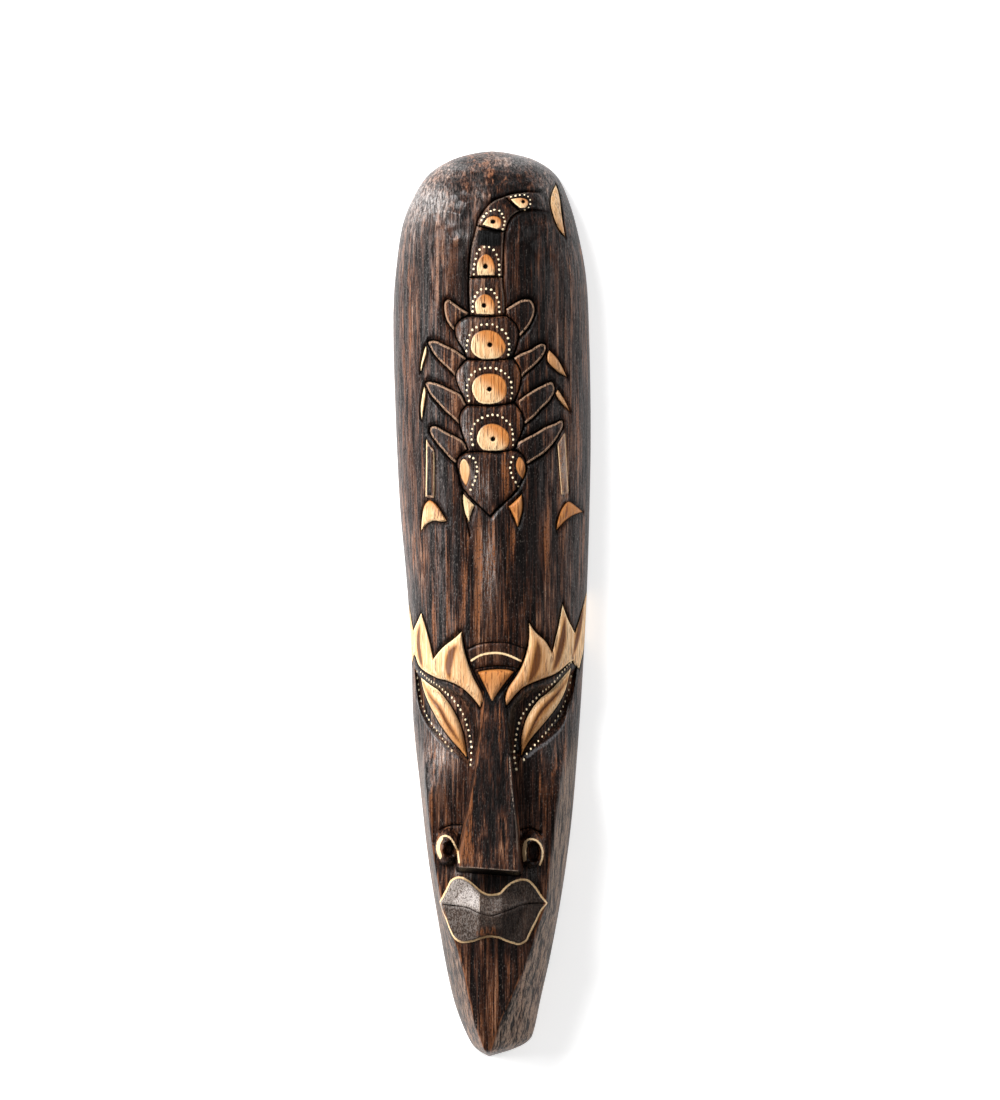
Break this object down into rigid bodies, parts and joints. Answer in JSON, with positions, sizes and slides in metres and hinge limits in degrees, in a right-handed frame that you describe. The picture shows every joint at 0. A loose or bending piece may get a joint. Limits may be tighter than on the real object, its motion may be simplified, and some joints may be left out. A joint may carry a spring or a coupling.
{
  "type": "wooden wall mask",
  "caption": "Long carved wooden wall mask with a hollow back, a slim stylised face and a scorpion in low relief on its forehead.",
  "frame": {"origin": "middle of the mask's length and width, on the plane of its flat back rim", "axes": "+Y towards the crown, +Z out of the face, +X to the right of a person who looks at the face"},
  "size_m": [0.1092, 0.5, 0.0629],
  "materials": {
    "stained_wood": "dark stained wood under a thin semi-gloss wax, carved through to pale wood in the inlays"
  },
  "bodies": {
    "root": {"mask": "stained_wood"}
  },
  "joints": []
}
